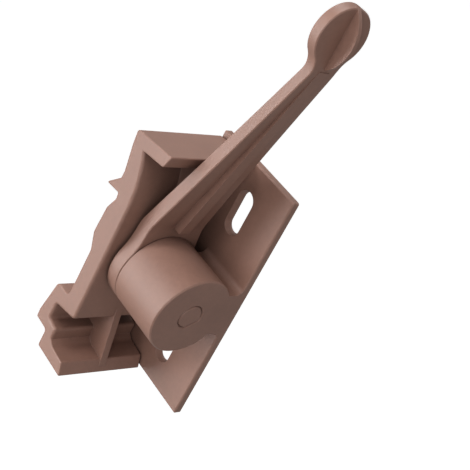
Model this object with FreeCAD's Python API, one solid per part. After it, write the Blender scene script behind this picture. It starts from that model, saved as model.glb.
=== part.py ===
"""Roller shutter lock: a wall base, a cranked lever and a sliding jaw.

X runs along the barrel, away from the shutter. Z is up the wall plate. The plate's back is
the plane Y = 0 and the body stands in front of it, at negative Y. Lengths are in millimetres.
The lock is drawn open, with its lever straight up.
"""

import math
import os

import FreeCAD
import Part
from FreeCAD import Vector

# Wall plate
PLATE_LEFT = -13.3
PLATE_RIGHT = 13.65
PLATE_HEIGHT = 62.0
PLATE_THICK = 1.8
PLATE_CORNER = 0.5
PLATE_EDGE = 0.3
SLOT_X = 1.7
SLOT_SPACING = 38.5
SLOT_WIDTH = 4.2
SLOT_LENGTH = 10.6
SLOT_SINK = 0.4
SLOT_SINK_DEPTH = 1.2

# Barrel and the neck that joins it to the plate
AXIS_Y = -13.5
BARREL_R = 10.0
BARREL_BACK = -1.4
BARREL_WALL = 1.4
BARREL_EDGE = 0.3
END_WALL = 2.5
GUIDE_GAP = 0.8
GUIDE_LENGTH = 7.5
NECK_HALF = 5.6
NECK_FILLET = 1.6

# Drive: half a turn of the lever moves it and the jaw this far towards the shutter
TRAVEL = 4.5
LUG_R = 1.0
LUG_X = 3.0
LUG_HEIGHT = 1.1

# Clearances
STEM_GAP = 0.08
SLEEVE_GAP = 0.08
LUG_GAP = 0.3
HUB_GAP = 0.2
BOSS_GAP = 0.1
BEAD_GAP = 0.15
JAW_PLATE_GAP = 0.5

# Lever, side view
HUB_THICK = 3.5
ARM_BEND = 12.0
ARM_TOP = 62.0
ARM_ROUND = 9.0
KNOB_FRONT = 13.35
KNOB_THICK = 2.4
LEVER_EDGE = 0.2
SLEEVE_WALL = 2.5

# Lever, front view
ARM_INSET = 1.2
ARM_MIDDLE = 34.0
ARM_HALF_MIDDLE = 5.45
ARM_HALF_TOP = 2.95
HUB_BLEND = 14.0
KNOB_BLEND = 5.5
KNOB_Z = 69.6
KNOB_R = 6.48

# Rib along the arm and finger fin on the knob
RIB_HALF = 1.4
RIB_START = 12.6
RIB_END = 62.0
RIB_HEIGHT_LOW = 2.15
RIB_HEIGHT_TOP = 0.05
FIN_THICK = 0.9
FIN_HEIGHT = 3.5
FIN_R = 8.2
FIN_Z = 69.2

# Jaw, seen along Y: spine, flanges, barb, grip face and foot
JAW_FRONT = -25.4
SPINE_X = -5.9
JAW_TOP = 31.0
JAW_BOTTOM = -31.5
FLANGE_THICK = 3.3
TOP_FLANGE_X = -1.0
FOOT_FLANGE_X = -2.2
SHOULDER_X = -13.65
BARB_X = -15.5
BARB_Z = 14.2
GRIP_X = -12.45
WAIST_X = -10.85
FOOT_X = -17.5
FOOT_TOP = -14.5
FOOT_UNDER = -26.4
FOOT_TOE_X = -12.9
POCKET_X = -13.2
POCKET_STEP_X = -9.75
SPINE_CURVE = 28.0
JAW_EDGE = 0.3
SPINE_EDGE = 0.7
GUSSET_THICK = 1.8

# Jaw stem
STEM_R = 2.95
STEM_FLAT = 2.4
STEM_FLAT_TURN = -59.0
STEM_CORNER = 0.5
STEM_CHAMFER = 0.3
BOSS_RISE = 1.65
BEAD_RISE = 0.5
BEAD_LENGTH = 1.0

BORE_R = BARREL_R - BARREL_WALL
SLEEVE_R = BORE_R - SLEEVE_GAP
GUIDE_R = SLEEVE_R - SLEEVE_WALL - GUIDE_GAP
BOSS_R = STEM_R + BOSS_RISE
BEAD_R = STEM_R + BEAD_RISE
HUB_FRONT = BARREL_BACK - HUB_GAP
HUB_BACK = HUB_FRONT - HUB_THICK
PLATE_FRONT = -PLATE_THICK
JAW_BACK = PLATE_FRONT - JAW_PLATE_GAP
ARM_LEAN = (KNOB_FRONT - HUB_FRONT) / (ARM_TOP - ARM_BEND)

# How far a cutting tool or a hidden overlap runs past the face it meets
PAST = 1.0


def outline(corners, place):
    """A face inside corners (a, b, radius); place turns a flat point into a point in space."""
    count = len(corners)
    ends = []
    for i, (a, b, radius) in enumerate(corners):
        here = Vector(a, b, 0)
        before = Vector(corners[i - 1][0], corners[i - 1][1], 0) - here
        after = Vector(corners[(i + 1) % count][0], corners[(i + 1) % count][1], 0) - here
        before.normalize()
        after.normalize()
        if radius == 0:
            ends.append((here, None, here))
            continue
        half = before.getAngle(after) / 2
        middle = before + after
        middle.normalize()
        reach = radius / math.tan(half)
        crown = here + middle * (radius / math.sin(half) - radius)
        ends.append((here + before * reach, crown, here + after * reach))
    edges = []
    for i, (start, crown, end) in enumerate(ends):
        if crown is not None:
            edges.append(Part.Arc(place(start), place(crown), place(end)).toShape())
        following = ends[(i + 1) % count][0]
        if end.distanceToPoint(following) > 1e-6:
            edges.append(Part.makeLine(place(end), place(following)))
    return Part.Face(Part.Wire(edges))


def along_x(corners, start, end):
    """Corners (y from the barrel's axis, z, radius), drawn out along X."""
    face = outline(corners, lambda p: Vector(start, AXIS_Y + p.x, p.y))
    return face.extrude(Vector(end - start, 0, 0))


def along_y(corners, start, end):
    """Corners (x, z, radius), drawn out along Y."""
    face = outline(corners, lambda p: Vector(p.x, start, p.y))
    return face.extrude(Vector(0, end - start, 0))


def disc(radius, start, end, z=0.0):
    """A round disc about an axis along X at the barrel's depth."""
    return Part.makeCylinder(radius, end - start, Vector(start, AXIS_Y, z), Vector(1, 0, 0))


def d_rod(radius, flat, start, end):
    """A round rod on the barrel's axis with one flat along it."""
    rod = disc(radius, start, end)
    keep = Part.makeBox(end - start, 4 * radius, 4 * radius)
    keep.translate(Vector(start, AXIS_Y - 4 * radius + flat, -2 * radius))
    keep.rotate(Vector(0, AXIS_Y, 0), Vector(1, 0, 0), STEM_FLAT_TURN)
    return rod.common(keep)


def edges_where(shape, test):
    """The edges whose middle point passes a test."""
    chosen = []
    for edge in shape.Edges:
        middle = edge.valueAt((edge.FirstParameter + edge.LastParameter) / 2)
        if test(edge, middle):
            chosen.append(edge)
    return chosen


def save(shape, name):
    """Write one piece as a STEP file."""
    shape.removeSplitter().exportStep("parts/" + name + ".step")


def build_base():
    """Plate, neck and barrel, moulded in one."""
    half = PLATE_HEIGHT / 2
    plate = along_y(
        [
            (PLATE_LEFT, -half, PLATE_CORNER),
            (PLATE_RIGHT, -half, PLATE_CORNER),
            (PLATE_RIGHT, half, PLATE_CORNER),
            (PLATE_LEFT, half, PLATE_CORNER),
        ],
        PLATE_FRONT,
        0,
    )

    def is_front_edge(edge, middle):
        return abs(middle.y - PLATE_FRONT) < 1e-3

    plate = plate.makeChamfer(PLATE_EDGE, edges_where(plate, is_front_edge))
    plate = plate.cut([build_slot(-SLOT_SPACING / 2), build_slot(SLOT_SPACING / 2)])

    reach = PLATE_FRONT - AXIS_Y
    wide = NECK_HALF + NECK_FILLET
    sunk = reach + PLATE_THICK / 2
    neck = along_x(
        [
            (0, -NECK_HALF, 0),
            (reach, -NECK_HALF, NECK_FILLET),
            (reach, -wide, 0),
            (sunk, -wide, 0),
            (sunk, wide, 0),
            (reach, wide, 0),
            (reach, NECK_HALF, NECK_FILLET),
            (0, NECK_HALF, 0),
        ],
        BARREL_BACK,
        PLATE_RIGHT,
    )
    barrel = disc(BARREL_R, BARREL_BACK, PLATE_RIGHT)

    def is_end_edge(edge, middle):
        return abs(middle.x - PLATE_RIGHT) < 1e-3

    barrel = barrel.makeChamfer(BARREL_EDGE, edges_where(barrel, is_end_edge))
    body = barrel.fuse([neck, plate])

    floor = PLATE_RIGHT - END_WALL
    guide = PLATE_RIGHT - GUIDE_LENGTH
    body = body.cut(disc(BORE_R, BARREL_BACK - PAST, floor))
    body = body.fuse(disc(GUIDE_R, guide, floor + END_WALL / 2))
    hole = d_rod(STEM_R + STEM_GAP, STEM_FLAT + STEM_GAP, guide - PAST, PLATE_RIGHT + PAST)
    body = body.cut(hole)

    def is_hole_rim(edge, middle):
        near = math.hypot(middle.y - AXIS_Y, middle.z) < GUIDE_R
        return near and is_end_edge(edge, middle)

    body = body.makeChamfer(STEM_CHAMFER, edges_where(body, is_hole_rim))
    lug = Part.makeCylinder(
        LUG_R,
        LUG_HEIGHT + BARREL_WALL / 2,
        Vector(LUG_X, AXIS_Y + BORE_R - LUG_HEIGHT, 0),
        Vector(0, 1, 0),
    )
    return body.fuse(lug)


def build_slot(middle):
    """The cutter for one round-ended, countersunk screw slot."""
    half = SLOT_WIDTH / 2
    mouth = half + SLOT_SINK
    corners = [
        Vector(0, PAST, 0),
        Vector(half, PAST, 0),
        Vector(half, PLATE_FRONT + SLOT_SINK_DEPTH, 0),
        Vector(mouth, PLATE_FRONT, 0),
        Vector(mouth, PLATE_FRONT - PAST, 0),
        Vector(0, PLATE_FRONT - PAST, 0),
    ]
    section = Part.Face(Part.makePolygon(corners + corners[:1]))
    straight = SLOT_LENGTH - SLOT_WIDTH
    right = section.extrude(Vector(0, 0, straight))
    left = right.mirror(Vector(0, 0, 0), Vector(1, 0, 0))
    low_end = section.revolve(Vector(0, 0, 0), Vector(0, 1, 0), 360)
    high_end = low_end.translated(Vector(0, 0, straight))
    slot = right.fuse([left, low_end, high_end])
    return slot.translated(Vector(SLOT_X, 0, middle - straight / 2))


def build_groove():
    """The cutter for the sleeve's half-turn groove, which rides on the barrel's lug."""
    half = LUG_R + LUG_GAP
    deep = BORE_R - LUG_HEIGHT - LUG_GAP
    high = BORE_R + PAST
    path = Part.makeHelix(2 * TRAVEL, TRAVEL, BORE_R, 0, True)
    corners = [
        Vector(deep, 0, -half),
        Vector(high, 0, -half),
        Vector(high, 0, half),
        Vector(deep, 0, half),
    ]
    section = Part.makePolygon(corners + corners[:1])
    groove = Part.Wire(path.Edges).makePipeShell([section], True, True)
    ends = [
        Part.makeCylinder(half, high - deep, Vector(deep, 0, 0), Vector(1, 0, 0)),
        Part.makeCylinder(half, high - deep, Vector(-deep, 0, TRAVEL), Vector(-1, 0, 0)),
    ]
    groove = groove.fuse(ends)
    turn = FreeCAD.Rotation(Vector(0, 1, 0), Vector(0, 0, 1), Vector(1, 0, 0))
    groove.Placement = FreeCAD.Placement(Vector(LUG_X, AXIS_Y, 0), turn)
    return groove


def build_lever_side():
    """The lever's side view, drawn out wider than the lever."""
    low = -BARREL_R - PAST
    high = KNOB_Z + KNOB_R + PAST
    knob_back = KNOB_FRONT - KNOB_THICK
    return along_y(
        [
            (HUB_FRONT, low, 0),
            (HUB_FRONT, ARM_BEND, ARM_ROUND),
            (KNOB_FRONT, ARM_TOP, ARM_ROUND),
            (KNOB_FRONT, high, 0),
            (knob_back, high, 0),
            (knob_back, ARM_TOP, ARM_ROUND),
            (HUB_BACK, ARM_BEND, ARM_ROUND),
            (HUB_BACK, low, 0),
        ],
        AXIS_Y - BARREL_R - PAST,
        AXIS_Y + BARREL_R + PAST,
    )


def build_lever_front():
    """The lever's front view, drawn out thicker than the lever: hub, waisted arm and knob."""
    low = HUB_BACK - PAST
    high = KNOB_FRONT + PAST
    half_axis = BARREL_R - ARM_INSET
    end = KNOB_Z - KNOB_R / 2

    def point(side, half, z):
        return Vector(low, AXIS_Y + side * half, z)

    left = Part.Arc(
        point(-1, half_axis, 0),
        point(-1, ARM_HALF_MIDDLE, ARM_MIDDLE),
        point(-1, ARM_HALF_TOP, end),
    )
    right = Part.Arc(
        point(1, ARM_HALF_TOP, end),
        point(1, ARM_HALF_MIDDLE, ARM_MIDDLE),
        point(1, half_axis, 0),
    )
    edges = [
        left.toShape(),
        Part.makeLine(left.EndPoint, right.StartPoint),
        right.toShape(),
        Part.makeLine(right.EndPoint, left.StartPoint),
    ]
    arm = Part.Face(Part.Wire(edges)).extrude(Vector(high - low, 0, 0))
    front = disc(BARREL_R, low, high).fuse([arm, disc(KNOB_R, low, high, KNOB_Z)])
    front = front.removeSplitter()

    def is_corner(edge, middle):
        straight = abs(edge.Length - (high - low)) < 1e-3
        return straight and 0 < middle.z < KNOB_Z and abs(middle.y - AXIS_Y) > 1e-3

    def is_hub_corner(edge, middle):
        return is_corner(edge, middle) and middle.z < ARM_MIDDLE

    def is_knob_corner(edge, middle):
        return is_corner(edge, middle) and middle.z > ARM_MIDDLE

    front = front.makeFillet(HUB_BLEND, edges_where(front, is_hub_corner))
    return front.makeFillet(KNOB_BLEND, edges_where(front, is_knob_corner))


def build_rib():
    """The rib along the arm's front, which sinks into the arm towards the knob."""

    def face_x(z):
        return HUB_FRONT + ARM_LEAN * (z - ARM_BEND)

    steep = math.sqrt(1 + ARM_LEAN**2)
    return along_y(
        [
            (face_x(RIB_START) - HUB_THICK / 2, RIB_START, 0),
            (face_x(RIB_START) + RIB_HEIGHT_LOW * steep, RIB_START, LEVER_EDGE),
            (face_x(RIB_END) + RIB_HEIGHT_TOP * steep, RIB_END, 0),
            (face_x(RIB_END) - KNOB_THICK / 2, RIB_END, 0),
        ],
        AXIS_Y - RIB_HALF,
        AXIS_Y + RIB_HALF,
    )


def build_fin():
    """The curved blade across the knob that the finger turns."""
    fin = Part.makeCylinder(
        FIN_R,
        FIN_THICK,
        Vector(KNOB_FRONT + FIN_HEIGHT - FIN_R, AXIS_Y - FIN_THICK / 2, FIN_Z),
        Vector(0, 1, 0),
    )
    root = KNOB_FRONT - KNOB_THICK / 4
    ahead = Part.makeBox(
        FIN_R, 2 * FIN_THICK, 2 * FIN_R, Vector(root, AXIS_Y - FIN_THICK, FIN_Z - FIN_R)
    )
    return fin.common(ahead)


def build_lever():
    """Hub, cranked arm, rib, knob with its fin, and the grooved sleeve inside the barrel."""
    body = build_lever_side().common(build_lever_front())

    def is_front(edge, middle):
        ahead = min(max(middle.z - ARM_BEND, 0), ARM_TOP - ARM_BEND) * ARM_LEAN
        across = isinstance(edge.Curve, Part.Line) and abs(edge.tangentAt(0).y) > 0.99
        return middle.x > HUB_FRONT - HUB_THICK / 2 + ahead and not across

    body = body.makeChamfer(LEVER_EDGE, edges_where(body, is_front))

    sleeve_end = PLATE_RIGHT - END_WALL - HUB_GAP
    sleeve = disc(SLEEVE_R, HUB_FRONT - HUB_THICK / 2, sleeve_end).cut(build_groove())
    body = body.fuse([build_rib(), build_fin(), sleeve])
    body = body.cut(disc(SLEEVE_R - SLEEVE_WALL, HUB_FRONT, sleeve_end + PAST))
    return body.cut(disc(STEM_R + STEM_GAP, HUB_BACK - PAST, HUB_FRONT + PAST))


def build_jaw_profile():
    """The jaw without its gussets and stem."""
    flange_root = JAW_TOP - FLANGE_THICK - 1.05
    flange_lip = JAW_TOP - FLANGE_THICK
    foot_lip = JAW_BOTTOM + FLANGE_THICK
    body = along_y(
        [
            (SHOULDER_X, JAW_TOP - 1.65, 0.8),
            (SHOULDER_X + 0.45, JAW_TOP - 5.3, 8.0),
            (BARB_X + 3.6, BARB_Z + 5.4, 4.0),
            (BARB_X + 3.5, BARB_Z + 3.6, 0),
            (BARB_X, BARB_Z, 0.25),
            (WAIST_X, BARB_Z + 0.5, 0.3),
            (WAIST_X + 0.25, BARB_Z - 1.0, 0.9),
            (GRIP_X + 0.4, BARB_Z - 4.3, 2.5),
            (GRIP_X, BARB_Z - 11.3, 2.5),
            (WAIST_X + 0.05, BARB_Z - 15.2, 2.5),
            (WAIST_X, FOOT_TOP, 1.3),
            (FOOT_X + 1.9, FOOT_TOP, 1.4),
            (FOOT_X, FOOT_UNDER + 2.2, 1.5),
            (FOOT_X + 0.1, FOOT_UNDER, 0.2),
            (FOOT_TOE_X + 0.1, FOOT_UNDER - 0.15, 0.8),
            (FOOT_TOE_X, JAW_BOTTOM + 0.15, 0.6),
            (FOOT_FLANGE_X, JAW_BOTTOM, 0.3),
            (FOOT_FLANGE_X - 1.25, foot_lip, 0.5),
            (POCKET_STEP_X + 1.35, foot_lip + 0.4, 2.0),
            (POCKET_STEP_X, foot_lip + 1.4, 0),
            (POCKET_STEP_X, FOOT_UNDER + 2.5, 0.8),
            (POCKET_X, FOOT_UNDER + 3.0, 0.7),
            (POCKET_X, FOOT_TOP - 4.5, 0.7),
            (SPINE_X, FOOT_TOP - 3.0, 1.3),
            (SPINE_X, JAW_TOP - 11.45, SPINE_CURVE),
            (SPINE_X - 3.15, flange_root, 0),
            (TOP_FLANGE_X - 1.1, flange_lip, 1.0),
            (TOP_FLANGE_X, JAW_TOP, 0.3),
        ],
        JAW_FRONT,
        JAW_BACK,
    )

    def is_inner_rim(edge, middle):
        on_spine = middle.x > SPINE_X - 3.1 and FOOT_TOP - 3.1 < middle.z < flange_root
        in_pocket = middle.x > POCKET_X - 0.1 and foot_lip + 2 < middle.z < FOOT_TOP - 3.1
        return abs(middle.y - JAW_FRONT) < 1e-3 and (on_spine or in_pocket)

    def is_outer_rim(edge, middle):
        return abs(middle.y - JAW_FRONT) < 1e-3 and not is_inner_rim(edge, middle)

    body = body.makeFillet(SPINE_EDGE, edges_where(body, is_inner_rim))
    return body.makeFillet(JAW_EDGE, edges_where(body, is_outer_rim))


def build_gussets():
    """The two ribs that brace the flanges against the spine, on the barrel's axis."""
    near = AXIS_Y - GUSSET_THICK / 2
    far = AXIS_Y + GUSSET_THICK / 2
    under_top = JAW_TOP - FLANGE_THICK / 2
    in_foot = JAW_BOTTOM + FLANGE_THICK / 2
    upper = [
        (SPINE_X - 2.5, JAW_TOP - 16, 0),
        (SPINE_X, JAW_TOP - 16, 0),
        (TOP_FLANGE_X - 1.3, under_top, 0),
        (SPINE_X - 3.6, under_top, 0),
    ]
    lower = [
        (SPINE_X - 1, FOOT_TOP, 0),
        (SPINE_X, FOOT_TOP, 0),
        (FOOT_FLANGE_X - 0.5, in_foot, 0),
        (POCKET_STEP_X - 1, in_foot, 0),
        (POCKET_X - 1, FOOT_TOP - 5.5, 0),
        (POCKET_X - 1, FOOT_TOP - 3.5, 0),
    ]
    return [along_y(upper, near, far), along_y(lower, near, far)]


def build_stem():
    """The D-shaped stem, its boss on the spine and the bead that keeps the hub on it."""
    root = SPINE_X - PAST
    bead_start = HUB_FRONT + BEAD_GAP
    rod = d_rod(STEM_R, STEM_FLAT, root, PLATE_RIGHT)

    def is_corner(edge, middle):
        along = abs(edge.Length - (PLATE_RIGHT - root)) < 1e-3
        return along and math.hypot(middle.y - AXIS_Y, middle.z) > STEM_R - 1e-3

    def is_tip(edge, middle):
        return abs(middle.x - PLATE_RIGHT) < 1e-3

    rod = rod.makeFillet(STEM_CORNER, edges_where(rod, is_corner))
    rod = rod.makeChamfer(STEM_CHAMFER, edges_where(rod, is_tip))
    bead = d_rod(BEAD_R, STEM_FLAT, bead_start, bead_start + BEAD_LENGTH)
    return rod.fuse([bead, disc(BOSS_R, root, HUB_BACK - BOSS_GAP)])


def build_jaw():
    """The sliding jaw: profile, gussets and stem, moulded in one."""
    return build_jaw_profile().fuse(build_gussets() + [build_stem()])


os.makedirs("parts", exist_ok=True)
save(build_base(), "base")
save(build_lever(), "lever")
save(build_jaw(), "jaw")
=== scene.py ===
"""Dresses the roller shutter lock's CAD frame for a studio picture.

All lengths are metres in the part's own frame: the wall plate's back is the plane Y = 0, X runs
along the barrel away from the shutter, and Z is up.
"""

import math

import bpy
from mathutils import Matrix, Vector

# Camera, solved from the photograph's perspective
CAMERA_PLACE = (0.147167, -0.177414, 0.132201)
CAMERA_RIGHT = (0.537447, 0.725902, 0.429205)
CAMERA_UP = (-0.629231, 0.006342, 0.777192)
CAMERA_BACK = (0.561443, -0.687769, 0.460169)
CAMERA_NEAR = 0.01
CAMERA_FAR = 20.0
SENSOR_MM = 36.0
IMAGE_PX = 470
FOCAL_PX = 1160.63

# Plastic, as linear colours
BROWN_LIGHT = (0.312, 0.168, 0.125, 1.0)
BROWN_DARK = (0.266, 0.142, 0.106, 1.0)
BROWN_WORN = (0.400, 0.245, 0.195, 1.0)
# Painted shade: the dark brown laid into corners and seams where light is blocked
BROWN_PAINTED_SHADE = (0.120, 0.062, 0.046, 1.0)

# Gloss
SPECULAR = 0.6
REFRACTION = 1.5
ROUGHNESS = (0.45, 0.52)

# Noises in the plastic: scale, detail and roughness
FLOW_NOISE = (48.0, 3.0, 0.55)
SPECK_NOISE = (900.0, 2.0, 0.5)
GRAIN_NOISE = (3400.0, 2.0, 0.5)

# Share of the flow and the specks that is spread over the whole range
FLOW_RANGE = (0.3, 0.7)
SPECK_RANGE = (0.3, 0.7)
PIGMENT_SCALE = (0.95, 1.05)

GRAIN_STRENGTH = 0.22
GRAIN_HEIGHT = 0.00004

# Rubbed edges: cosine of the rounded normal's lean, the most rubbing, and its breaks by specks
RUB_LEAN = (0.995, 0.9)
RUB_MOST = 0.45
RUB_SPECKS = (0.35, 0.65)
RUB_BREAKS = (0.3, 1.0)

# Painted shade in corners and seams, darker where ambient occlusion finds surfaces close by:
# openness at which it is full and at which it ends, and its most
CORNER_SHADE_REACH = 0.010
CORNER_PAINTED_SHADE = (0.12, 0.65, 0.95)
SEAM_PAINTED_SHADE = (0.1, 0.5, 1.0)

# Rays that the edge and painted-shade nodes trace at each point
NODE_SAMPLES = 8

# Each piece: noise seed, edge radius and how far its painted seam shade reaches
PIECES = {
    "base": (1.0, 0.00015, 0.0006),
    "lever": (4.0, 0.00005, 0.00005),
    "jaw": (7.0, 0.0002, 0.0006),
}

# Stage
FLOOR_Z = -1.2
FLOOR_SIZE = 12.0
FLOOR_PAINT = (0.8, 0.8, 0.8, 1.0)
FLOOR_ROUGHNESS = 0.8
SKY_STRENGTH = 0.31
# What the floor's lit paint lacks to white, shown to the camera only
FLOOR_GLOW = (0.76, 0.76, 0.76, 1.0)
WHITE = (1.0, 1.0, 1.0, 1.0)

# Lamps: name, azimuth from +X and elevation in degrees, watts
LAMP_TARGET = (0.0, -0.012, 0.012)
LAMP_DISTANCE = 0.8
LAMP_SIZE = 0.35
LAMPS = (
    ("key", -122, -5, 2.25),
    ("key_high", -122, 22, 1.6),
    ("front", -88, 25, 1.1),
    ("low_left", -128, -26, 1.2),
    ("right", -48, 15, 1.25),
    ("left", -190, 48, 1.9),
    ("above", -80, 70, 1.3),
    ("back", 100, 20, 0.9),
)

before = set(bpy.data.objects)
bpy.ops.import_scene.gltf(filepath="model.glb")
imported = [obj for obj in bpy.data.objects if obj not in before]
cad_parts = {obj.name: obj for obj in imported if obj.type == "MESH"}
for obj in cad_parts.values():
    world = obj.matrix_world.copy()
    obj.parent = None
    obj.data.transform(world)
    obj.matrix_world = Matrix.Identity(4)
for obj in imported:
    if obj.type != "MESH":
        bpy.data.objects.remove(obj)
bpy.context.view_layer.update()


def add_node(tree, kind, **inputs):
    """A shader node with its sockets set by name."""
    node = tree.nodes.new(kind)
    for name, value in inputs.items():
        node.inputs[name.replace("_", " ")].default_value = value
    return node


def moulded_plastic(name, seed, edge_radius, seam_shade_reach):
    """Satin moulded plastic: colour flow, pigment specks, grain, rubbed edges, and shade painted
    darker into corners and seams.
    """
    material = bpy.data.materials.new(name)
    material.use_nodes = True
    tree = material.node_tree
    link = tree.links.new
    shader = tree.nodes["Principled BSDF"]
    shader.inputs["Specular IOR Level"].default_value = SPECULAR
    shader.inputs["IOR"].default_value = REFRACTION
    place = tree.nodes.new("ShaderNodeTexCoord").outputs["Object"]

    def noise(scale, detail, rough):
        node = add_node(tree, "ShaderNodeTexNoise", Scale=scale, Detail=detail, Roughness=rough)
        node.noise_dimensions = "4D"
        node.inputs["W"].default_value = seed
        link(place, node.inputs["Vector"])
        return node.outputs["Fac"]

    def spread(value, low, high, to_low, to_high):
        node = add_node(
            tree, "ShaderNodeMapRange", From_Min=low, From_Max=high, To_Min=to_low, To_Max=to_high
        )
        link(value, node.inputs["Value"])
        return node.outputs["Result"]

    def times(first, second):
        node = tree.nodes.new("ShaderNodeMath")
        node.operation = "MULTIPLY"
        link(first, node.inputs[0])
        link(second, node.inputs[1])
        return node.outputs["Value"]

    def blend(share, under, over):
        node = tree.nodes.new("ShaderNodeMix")
        node.data_type = "RGBA"
        link(share, node.inputs["Factor"])
        link(under, node.inputs["A"])
        node.inputs["B"].default_value = over
        return node.outputs["Result"]

    # Share of painted shade, taken from ambient occlusion within the given reach
    def shelter(reach, closed, clear, most):
        node = add_node(tree, "ShaderNodeAmbientOcclusion", Distance=reach)
        node.samples = NODE_SAMPLES
        return spread(node.outputs["AO"], clear, closed, 0.0, most)

    flow = noise(*FLOW_NOISE)
    specks = noise(*SPECK_NOISE)
    grain = noise(*GRAIN_NOISE)

    ramp = tree.nodes.new("ShaderNodeValToRGB")
    for stop, position, colour in zip(
        ramp.color_ramp.elements, FLOW_RANGE, (BROWN_DARK, BROWN_LIGHT)
    ):
        stop.position = position
        stop.color = colour
    link(flow, ramp.inputs["Fac"])

    edge = add_node(tree, "ShaderNodeBevel", Radius=edge_radius)
    edge.samples = NODE_SAMPLES
    facing = tree.nodes.new("ShaderNodeVectorMath")
    facing.operation = "DOT_PRODUCT"
    geometry = tree.nodes.new("ShaderNodeNewGeometry")
    link(edge.outputs["Normal"], facing.inputs[0])
    link(geometry.outputs["Normal"], facing.inputs[1])
    rubbed = times(
        spread(facing.outputs["Value"], *RUB_LEAN, 0.0, RUB_MOST),
        spread(specks, *RUB_SPECKS, *RUB_BREAKS),
    )

    # Painted shade: darker brown blended in where ambient occlusion finds surfaces close by, in
    # corners and at seams
    painted_shade = tree.nodes.new("ShaderNodeMath")
    painted_shade.operation = "MAXIMUM"
    link(shelter(CORNER_SHADE_REACH, *CORNER_PAINTED_SHADE), painted_shade.inputs[0])
    link(shelter(seam_shade_reach, *SEAM_PAINTED_SHADE), painted_shade.inputs[1])

    pigment = tree.nodes.new("ShaderNodeVectorMath")
    pigment.operation = "SCALE"
    link(ramp.outputs["Color"], pigment.inputs["Vector"])
    link(spread(specks, *SPECK_RANGE, *PIGMENT_SCALE), pigment.inputs["Scale"])
    # The painted shade laid over the pigment colour
    shaded_colour = blend(painted_shade.outputs["Value"], pigment.outputs["Vector"], BROWN_PAINTED_SHADE)
    link(blend(rubbed, shaded_colour, BROWN_WORN), shader.inputs["Base Color"])
    link(spread(specks, *SPECK_RANGE, *ROUGHNESS), shader.inputs["Roughness"])

    bump = add_node(tree, "ShaderNodeBump", Strength=GRAIN_STRENGTH, Distance=GRAIN_HEIGHT)
    link(grain, bump.inputs["Height"])
    link(edge.outputs["Normal"], bump.inputs["Normal"])
    link(bump.outputs["Normal"], shader.inputs["Normal"])
    return material


def place_camera():
    """The camera at the photograph's viewing angle."""
    data = bpy.data.cameras.new("camera")
    data.sensor_width = SENSOR_MM
    data.lens = FOCAL_PX / IMAGE_PX * SENSOR_MM
    data.clip_start = CAMERA_NEAR
    data.clip_end = CAMERA_FAR
    camera = bpy.data.objects.new("camera", data)
    columns = Matrix((CAMERA_RIGHT, CAMERA_UP, CAMERA_BACK)).transposed()
    camera.matrix_world = Matrix.Translation(CAMERA_PLACE) @ columns.to_4x4()
    bpy.context.scene.collection.objects.link(camera)
    bpy.context.scene.camera = camera


def soft_lamp(name, azimuth, elevation, power):
    """A round softbox at a bearing seen from the part, in degrees, facing the part."""
    turn, rise = math.radians(azimuth), math.radians(elevation)
    level = math.cos(rise)
    bearing = Vector((level * math.cos(turn), level * math.sin(turn), math.sin(rise)))
    data = bpy.data.lights.new(name, "AREA")
    data.shape = "DISK"
    data.size = LAMP_SIZE
    data.energy = power
    lamp = bpy.data.objects.new(name, data)
    lamp.location = Vector(LAMP_TARGET) + LAMP_DISTANCE * bearing
    lamp.rotation_euler = (-bearing).to_track_quat("-Z", "Y").to_euler()
    bpy.context.scene.collection.objects.link(lamp)


def build_floor():
    """A pale floor, white to the camera, that keeps the part's shadow."""
    bpy.ops.mesh.primitive_plane_add(size=FLOOR_SIZE, location=(0, 0, FLOOR_Z))
    floor = bpy.context.object
    floor.name = "floor"
    material = bpy.data.materials.new("floor")
    material.use_nodes = True
    tree = material.node_tree
    paint = tree.nodes["Principled BSDF"]
    paint.inputs["Base Color"].default_value = FLOOR_PAINT
    paint.inputs["Roughness"].default_value = FLOOR_ROUGHNESS
    glow = add_node(tree, "ShaderNodeEmission", Color=FLOOR_GLOW)
    rays = tree.nodes.new("ShaderNodeLightPath")
    lit = tree.nodes.new("ShaderNodeAddShader")
    tree.links.new(rays.outputs["Is Camera Ray"], glow.inputs["Strength"])
    tree.links.new(paint.outputs["BSDF"], lit.inputs[0])
    tree.links.new(glow.outputs["Emission"], lit.inputs[1])
    tree.links.new(lit.outputs["Shader"], tree.nodes["Material Output"].inputs["Surface"])
    floor.data.materials.append(material)


def build_world():
    """A plain soft sky that is white to the camera."""
    world = bpy.data.worlds.new("world")
    world.use_nodes = True
    bpy.context.scene.world = world
    tree = world.node_tree
    sky = tree.nodes["Background"]
    sky.inputs["Color"].default_value = WHITE
    sky.inputs["Strength"].default_value = SKY_STRENGTH
    back = add_node(tree, "ShaderNodeBackground", Color=WHITE, Strength=1.0)
    rays = tree.nodes.new("ShaderNodeLightPath")
    mix = tree.nodes.new("ShaderNodeMixShader")
    tree.links.new(rays.outputs["Is Camera Ray"], mix.inputs["Fac"])
    tree.links.new(sky.outputs["Background"], mix.inputs[1])
    tree.links.new(back.outputs["Background"], mix.inputs[2])
    tree.links.new(mix.outputs["Shader"], tree.nodes["World Output"].inputs["Surface"])


plastic = {name: moulded_plastic(name + "_plastic", *look) for name, look in PIECES.items()}
for name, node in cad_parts.items():
    for index in range(len(node.data.materials)):
        node.data.materials[index] = plastic[name]

place_camera()
build_floor()
build_world()
for lamp in LAMPS:
    soft_lamp(*lamp)

bpy.context.scene.view_settings.view_transform = "Standard"
